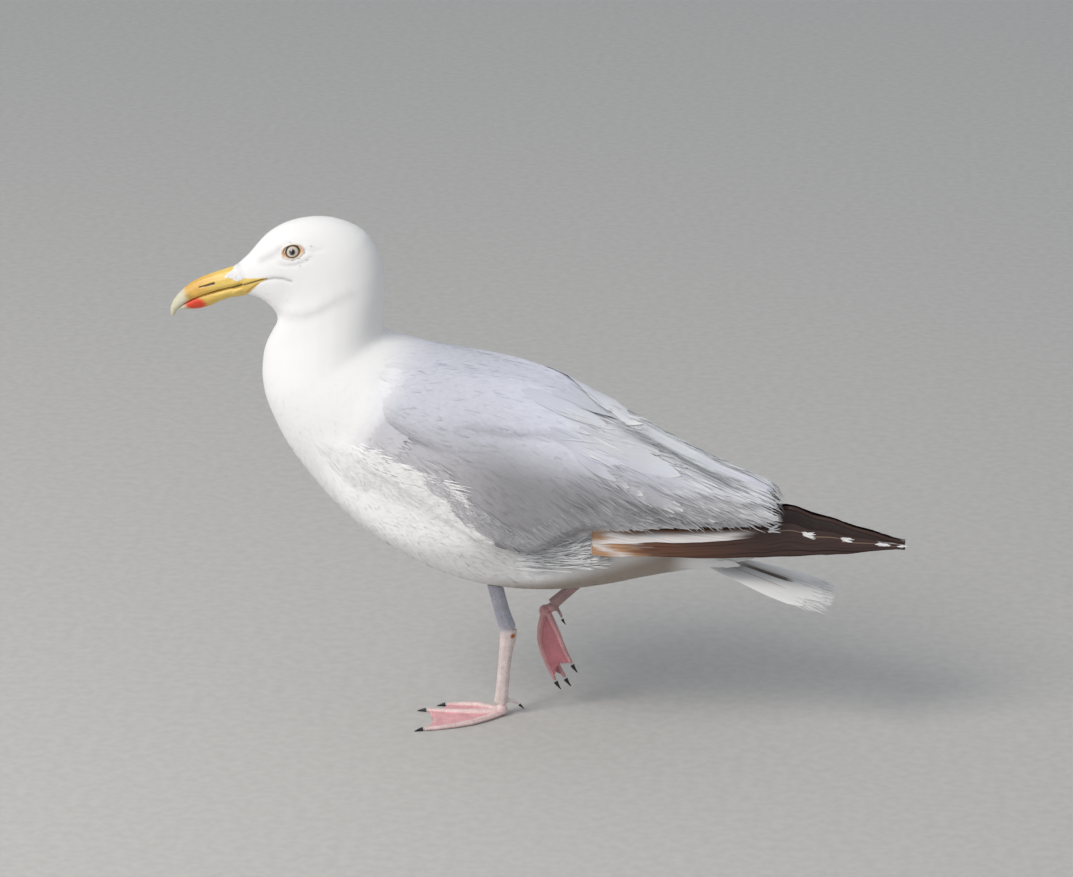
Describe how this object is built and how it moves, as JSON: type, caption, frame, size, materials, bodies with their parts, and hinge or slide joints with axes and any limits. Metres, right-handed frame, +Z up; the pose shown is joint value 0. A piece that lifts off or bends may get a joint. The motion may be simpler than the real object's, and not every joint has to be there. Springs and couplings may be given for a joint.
{
  "type": "herring gull",
  "caption": "Life-size still model of an adult herring gull in mid-stride, standing on its left foot with the right foot lifted, grey wings folded, head, body and tail white.",
  "frame": {"origin": "floor level, below the middle of the whole bird's box", "axes": "the gull faces -X, its left side faces -Y, +Z up"},
  "size_m": [0.5476, 0.135, 0.3885],
  "materials": {
    "white_plumage": "soft matte body feathers",
    "grey_plumage": "smooth matte wing feathers",
    "dark_plumage": "satin primary feathers with white tips",
    "bill_horn": "smooth semi-gloss horn",
    "eye": "wet gloss",
    "leg_skin": "scaly skin",
    "claw_horn": "satin horn"
  },
  "bodies": {
    "root": {"head": "white_plumage", "neck": "white_plumage", "breast": "white_plumage", "trunk": "white_plumage", "rump": "white_plumage", "tail": "white_plumage", "wing_left": "grey_plumage", "wing_right": "grey_plumage", "primaries_left": "dark_plumage", "primaries_right": "dark_plumage", "upper_bill": "bill_horn", "lower_bill": "bill_horn", "eye_left": "eye", "eye_right": "eye", "shank_left": "leg_skin", "tarsus_left": "leg_skin", "foot_left": "leg_skin", "tarsus_right": "leg_skin", "foot_right": "leg_skin", "claw_left_inner": "claw_horn", "claw_left_middle": "claw_horn", "claw_left_outer": "claw_horn", "claw_left_hind": "claw_horn", "claw_right_inner": "claw_horn", "claw_right_middle": "claw_horn", "claw_right_outer": "claw_horn", "claw_right_hind": "claw_horn"}
  },
  "joints": []
}
